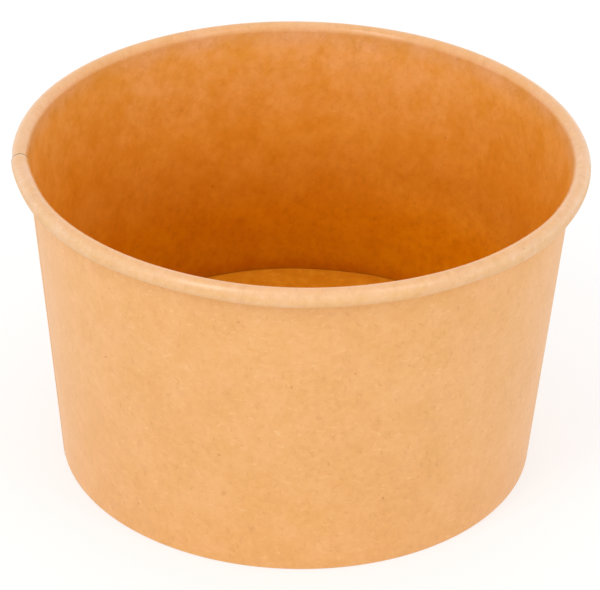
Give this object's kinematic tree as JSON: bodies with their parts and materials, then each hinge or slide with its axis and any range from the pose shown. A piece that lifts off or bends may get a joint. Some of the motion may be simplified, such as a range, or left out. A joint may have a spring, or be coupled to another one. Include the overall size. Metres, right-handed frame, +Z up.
{
  "type": "paper ice cream tub",
  "caption": "Round tapered kraft paper tub with a lapped side wall, a rolled rim that takes a press-on lid, and a flat base disc set up inside a folded foot.",
  "frame": {"origin": "centre of the foot, on the table", "axes": "+Z up the tub's axis, through the mouth; -Y faces the viewer of the picture"},
  "size_m": [0.115, 0.115, 0.0686],
  "materials": {
    "wall_board": "plain brown kraft board, matt outside and thinly coated inside",
    "base_board": "brown kraft board with a thin coating on the side that meets the food"
  },
  "bodies": {
    "root": {"side_wall": "wall_board", "base_disc": "base_board"}
  },
  "joints": []
}
